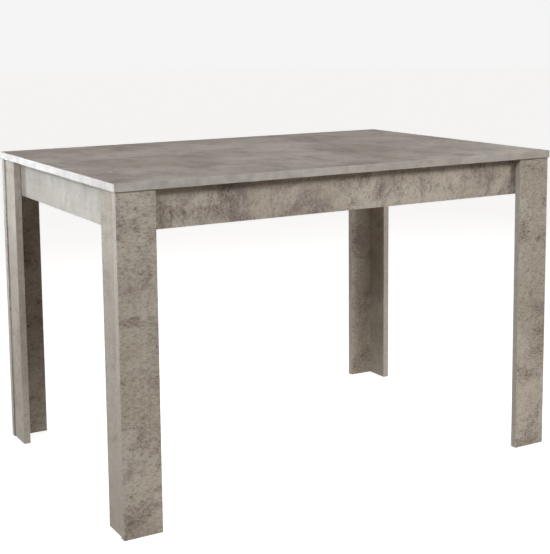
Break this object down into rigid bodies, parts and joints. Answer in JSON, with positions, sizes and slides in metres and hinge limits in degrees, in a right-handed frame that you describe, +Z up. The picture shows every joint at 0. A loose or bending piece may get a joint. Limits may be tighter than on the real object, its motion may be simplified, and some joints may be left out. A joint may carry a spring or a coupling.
{
  "type": "extendable dining table",
  "caption": "Rectangular dining table on angle-section board legs; end frames pull out under a fixed top to carry stored leaves.",
  "frame": {"origin": "middle of the table's outline on the floor, at rest with both end frames pushed in", "axes": "+X along the table's length, +Y across its width, +Z up"},
  "size_m": [1.2, 0.8, 0.78],
  "materials": {
    "concrete_decor": "matt melamine with a printed concrete look on particle board",
    "concrete_edge": "matt edge band, a little lighter than the faces",
    "steel": "galvanised sheet and tube, satin",
    "zinc": "zinc-plated, semi-bright",
    "nylon": "black nylon, matt",
    "beech": "raw beech, sanded"
  },
  "bodies": {
    "table": {"table_top": "concrete_decor", "top_long_edge_bands": "concrete_edge", "top_end_edge_bands": "concrete_edge", "leg_front_left_face": "concrete_decor", "leg_front_left_side": "concrete_decor", "leg_front_right_face": "concrete_decor", "leg_front_right_side": "concrete_decor", "leg_rear_left_face": "concrete_decor", "leg_rear_left_side": "concrete_decor", "leg_rear_right_face": "concrete_decor", "leg_rear_right_side": "concrete_decor", "leg_dowels": "beech", "apron_front": "concrete_decor", "apron_rear": "concrete_decor", "leg_screws": "zinc", "corner_block_front_left": "beech", "corner_block_front_right": "beech", "corner_block_rear_left": "beech", "corner_block_rear_right": "beech", "corner_block_screws": "zinc", "top_brackets": "zinc", "top_bracket_screws": "zinc", "guide_left_outer": "steel", "guide_left_inner": "steel", "guide_right_outer": "steel", "guide_right_inner": "steel", "guide_liners": "nylon", "guide_screws": "zinc", "stop_pins": "zinc", "storage_batten_left": "beech", "storage_batten_right": "beech", "batten_brackets": "zinc", "batten_bracket_screws": "zinc", "leaf_lower": "concrete_decor", "leaf_lower_long_edge_bands": "concrete_edge", "leaf_lower_end_edge_bands": "concrete_edge", "leaf_lower_pins": "zinc", "leaf_upper": "concrete_decor", "leaf_upper_long_edge_bands": "concrete_edge", "leaf_upper_end_edge_bands": "concrete_edge", "leaf_upper_pins": "zinc", "catch_screws": "zinc"},
    "end_frame_left": {"end_apron_left": "concrete_decor", "runner_left_outer": "steel", "runner_left_inner": "steel", "runner_plates_left": "steel", "runner_caps_left": "nylon", "plate_screws_left": "zinc"},
    "end_frame_right": {"end_apron_right": "concrete_decor", "runner_right_outer": "steel", "runner_right_inner": "steel", "runner_plates_right": "steel", "runner_caps_right": "nylon", "plate_screws_right": "zinc"},
    "catch_left": {"leaf_catch_left": "nylon"},
    "catch_right": {"leaf_catch_right": "nylon"}
  },
  "joints": [
    {"name": "end_frame_left_slide", "type": "slide", "parent": "table", "child": "end_frame_left", "axis": [-1, 0, 0], "range_m": [0, 0.4]},
    {"name": "end_frame_right_slide", "type": "slide", "parent": "table", "child": "end_frame_right", "axis": [1, 0, 0], "range_m": [0, 0.4]},
    {"name": "catch_left_turn", "type": "hinge", "parent": "table", "child": "catch_left", "pos_m": [-0.4023, 0, 0.682], "axis": [1, 0, 0], "range_deg": [0, 90]},
    {"name": "catch_right_turn", "type": "hinge", "parent": "table", "child": "catch_right", "pos_m": [0.4023, 0, 0.682], "axis": [1, 0, 0], "range_deg": [0, 90]}
  ]
}
